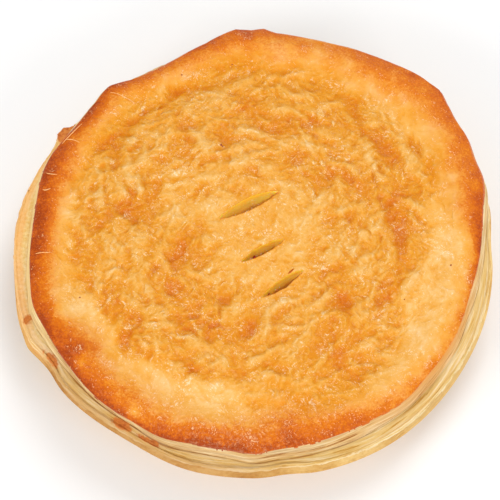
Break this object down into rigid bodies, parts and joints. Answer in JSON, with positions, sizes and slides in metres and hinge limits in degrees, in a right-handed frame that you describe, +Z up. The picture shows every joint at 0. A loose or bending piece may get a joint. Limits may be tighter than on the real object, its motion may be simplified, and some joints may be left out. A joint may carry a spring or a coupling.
{
  "type": "steak pie",
  "caption": "Round baked steak pie: shallow pastry case with a leafy rim, under a puffed, browned pastry lid with an uneven edge and steam slits in the middle.",
  "frame": {"origin": "bottom centre of the pie, on the surface that it stands on", "axes": "+Z up out of the lid, +Y to the back as in the picture, +X to the right"},
  "size_m": [0.2006, 0.1988, 0.0413],
  "materials": {
    "shortcrust": "pale baked pastry, dry and leafy at the edge",
    "glazed_puff": "egg-washed puff pastry, golden with a browned rim"
  },
  "bodies": {
    "root": {"pastry_case": "shortcrust", "pastry_lid": "glazed_puff"}
  },
  "joints": []
}
